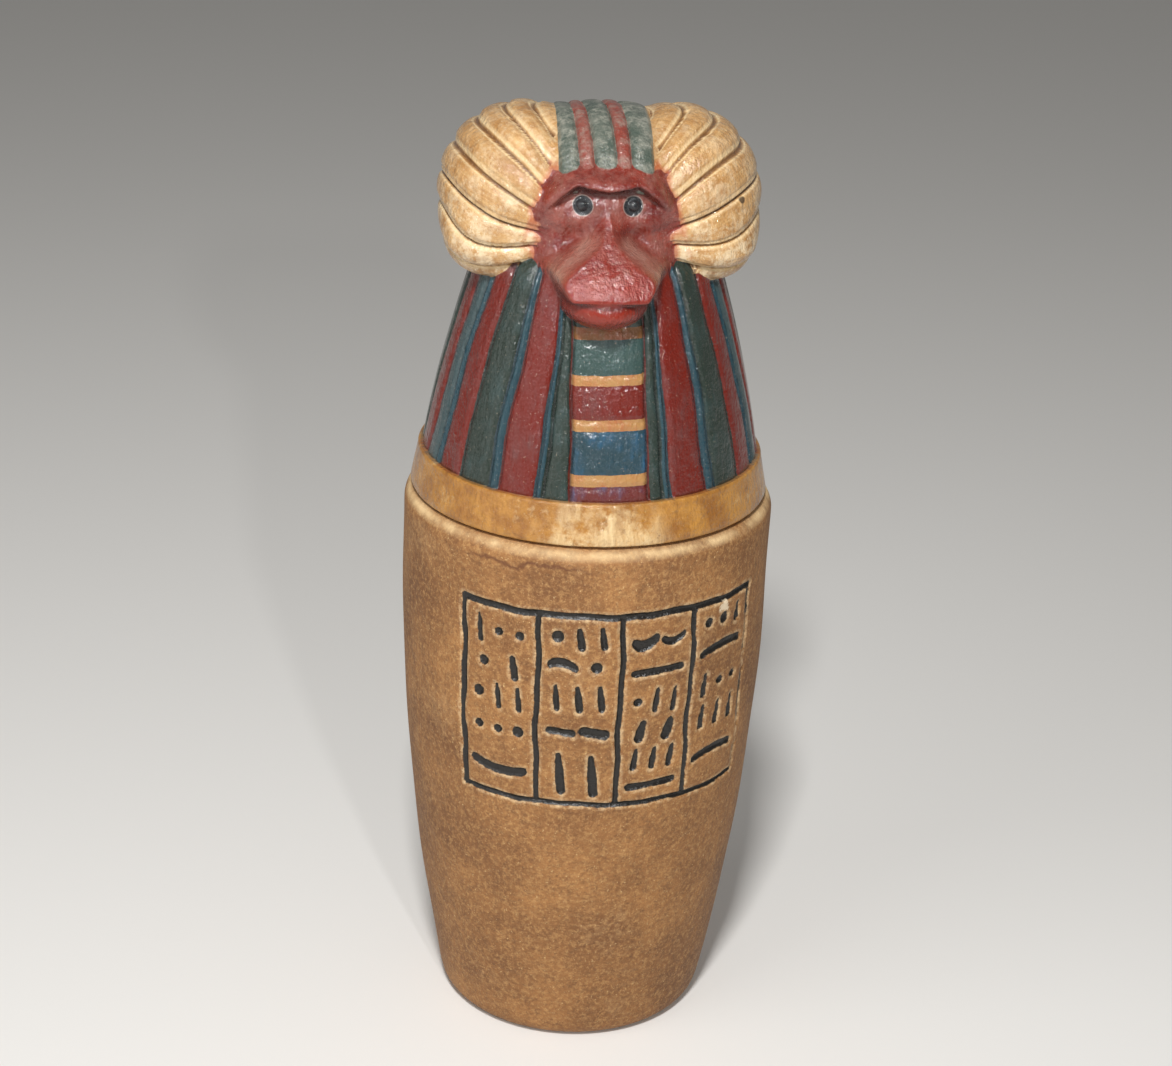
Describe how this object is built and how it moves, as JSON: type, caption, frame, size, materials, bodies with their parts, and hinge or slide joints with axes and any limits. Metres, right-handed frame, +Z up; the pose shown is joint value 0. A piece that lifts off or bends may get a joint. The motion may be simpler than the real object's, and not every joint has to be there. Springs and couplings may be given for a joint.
{
  "type": "canopic jar",
  "caption": "Shouldered hollow jar with an incised panel, closed by a lift-off stopper sculpted as a baboon's head in a striped wig.",
  "frame": {"origin": "centre of the jar's flat foot, on the surface it stands on", "axes": "+Z up along the jar's axis; the baboon's face looks along -Y; +X is to the right when facing it"},
  "size_m": [0.1, 0.1, 0.2583],
  "materials": {
    "jar_stone": "sandy matt cast stone, ochre brown, with black-filled incised lines",
    "painted_lid": "hand-painted red, dark teal, blue and ochre bands under an uneven gloss varnish"
  },
  "bodies": {
    "root": {"jar": "jar_stone", "baboon_head_lid": "painted_lid"}
  },
  "joints": []
}
